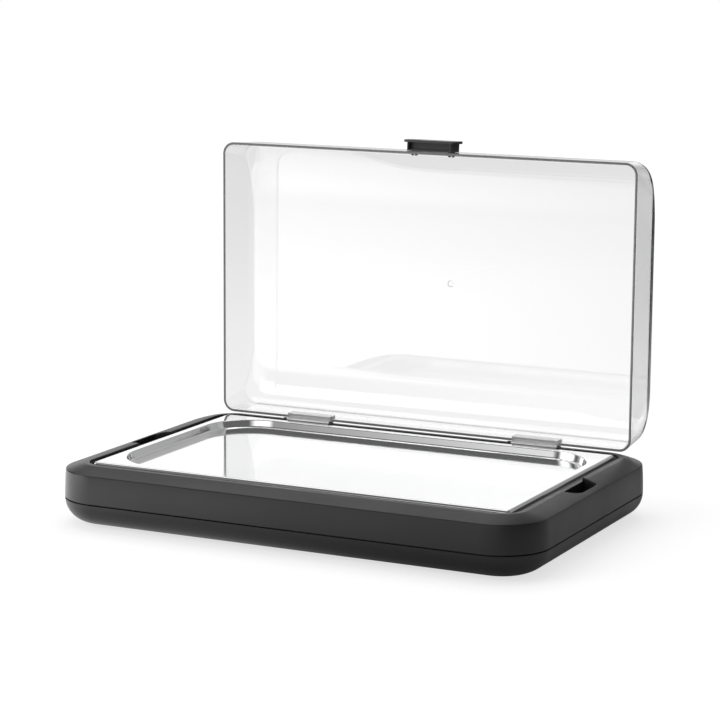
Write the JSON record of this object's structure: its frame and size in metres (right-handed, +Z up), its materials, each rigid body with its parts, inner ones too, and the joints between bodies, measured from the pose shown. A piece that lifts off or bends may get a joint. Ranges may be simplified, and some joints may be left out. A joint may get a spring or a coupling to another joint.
{
  "type": "chilled serving display",
  "caption": "Low chilled serving display: hollow two-part base, lift-out steel tray over cold packs, hinged clear domed cover with a pull handle.",
  "frame": {"origin": "on the floor plane, at the middle of the object's overall box with its cover open", "axes": "+X to the right along the long side, +Y to the back where the hinge is, +Z up"},
  "size_m": [0.61, 0.4542, 0.4369],
  "materials": {
    "base_plastic": "satin fine-grained black",
    "handle_plastic": "satin black",
    "polished_steel": "mirror polished stainless",
    "pin_steel": "drawn rod",
    "screw_steel": "zinc plated",
    "clear_plastic": "clear gloss",
    "pack_plastic": "blow-moulded blue",
    "plug_plastic": "white",
    "foot_rubber": "soft black"
  },
  "bodies": {
    "base": {"upper_shell": "base_plastic", "lower_shell": "base_plastic", "hinge_pin_left": "pin_steel", "hinge_pin_right": "pin_steel", "cold_pack_left": "pack_plastic", "cold_pack_right": "pack_plastic", "cold_pack_plug_left": "plug_plastic", "cold_pack_plug_right": "plug_plastic", "foot_1": "foot_rubber", "foot_2": "foot_rubber", "foot_3": "foot_rubber", "foot_4": "foot_rubber", "case_screw_1": "screw_steel", "case_screw_2": "screw_steel", "case_screw_3": "screw_steel", "case_screw_4": "screw_steel", "case_screw_5": "screw_steel", "case_screw_6": "screw_steel", "case_screw_7": "screw_steel", "case_screw_8": "screw_steel"},
    "tray": {"tray": "polished_steel"},
    "cover": {"cover": "clear_plastic", "cover_handle": "handle_plastic"}
  },
  "joints": [
    {"name": "cover_hinge", "type": "hinge", "parent": "base", "child": "cover", "pos_m": [0, 0.1519, 0.07205], "axis": [1, 0, 0], "range_deg": [0, 90]},
    {"name": "tray_lift", "type": "slide", "parent": "base", "child": "tray", "axis": [0, 0, 1], "range_m": [0, 0.04]}
  ]
}
